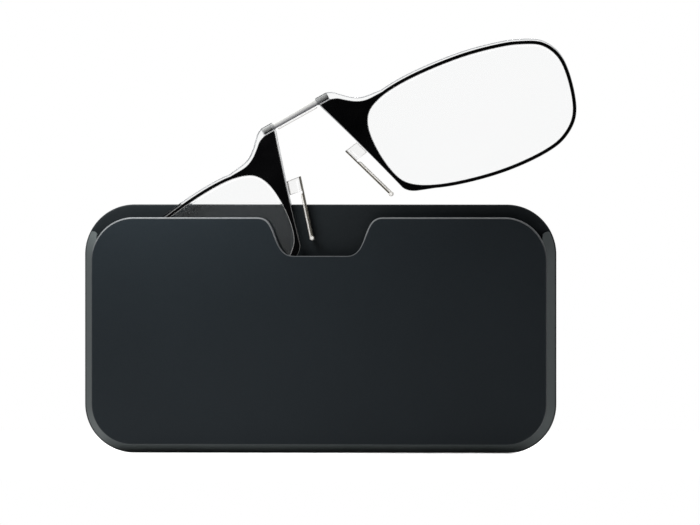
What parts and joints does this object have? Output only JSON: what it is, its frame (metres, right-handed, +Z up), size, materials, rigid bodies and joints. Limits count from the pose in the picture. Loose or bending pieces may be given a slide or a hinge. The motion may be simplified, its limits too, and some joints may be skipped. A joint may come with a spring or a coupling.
{
  "type": "folding reading glasses",
  "caption": "Temple-free reading glasses with a springy metal bridge and nose pads, half drawn out of a flat pocket case with a thumb notch and an adhesive back.",
  "frame": {"origin": "middle of the flat adhesive face on the back of the case", "axes": "+Y out of the adhesive face towards the phone, so the front of the case faces -Y; +X to the right seen from the front; +Z up, towards the mouth of the pocket"},
  "size_m": [0.1093, 0.0044, 0.0914],
  "materials": {
    "case_plastic": "fine soft matte, blue-black",
    "adhesive": "foam tape with a smooth face",
    "rim_black": "gloss black",
    "lens_clear": "polished clear polycarbonate",
    "spring_metal": "satin spring alloy",
    "silicone": "clear silicone"
  },
  "bodies": {
    "case": {"adhesive_pad": "adhesive", "back_plate": "case_plastic", "pocket_wall": "case_plastic", "front_plate": "case_plastic"},
    "left_half": {"left_lens": "lens_clear", "left_rim": "rim_black", "left_ferrule": "spring_metal", "left_pad_clip": "lens_clear", "left_blade_foot": "spring_metal"},
    "bridge": {"bridge_strip": "spring_metal", "bridge_web": "silicone"},
    "right_half": {"right_lens": "lens_clear", "right_rim": "rim_black", "right_ferrule": "spring_metal", "right_pad_clip": "lens_clear", "right_blade_foot": "spring_metal"},
    "left_pad": {"left_pad_blade": "spring_metal", "left_nose_pad": "silicone"},
    "right_pad": {"right_pad_blade": "spring_metal", "right_nose_pad": "silicone"}
  },
  "joints": [
    {"name": "draw_out", "type": "slide", "parent": "case", "child": "left_half", "axis": [0, 0, 1], "range_m": [-0.01, 0.04]},
    {"name": "left_flex", "type": "hinge", "parent": "left_half", "child": "bridge", "pos_m": [-0.01007, -0.00239, 0.04474], "axis": [0, -1, 0], "range_deg": [-4, 14], "stiffness_Nm_per_rad": 0.06},
    {"name": "right_flex", "type": "hinge", "parent": "bridge", "child": "right_half", "pos_m": [-0.00062, -0.00239, 0.04998], "axis": [0, -1, 0], "range_deg": [-4, 14], "stiffness_Nm_per_rad": 0.06},
    {"name": "left_pad_spring", "type": "hinge", "parent": "left_half", "child": "left_pad", "pos_m": [-0.00369, -0.00239, 0.03051], "axis": [0, 1, 0], "range_deg": [-4, 7], "stiffness_Nm_per_rad": 0.002},
    {"name": "right_pad_spring", "type": "hinge", "parent": "right_half", "child": "right_pad", "pos_m": [0.00806, -0.00239, 0.03702], "axis": [0, -1, 0], "range_deg": [-4, 7], "stiffness_Nm_per_rad": 0.002}
  ],
  "couplings": [
    {"joint": "left_flex", "follows": "right_flex", "ratio": 1}
  ]
}
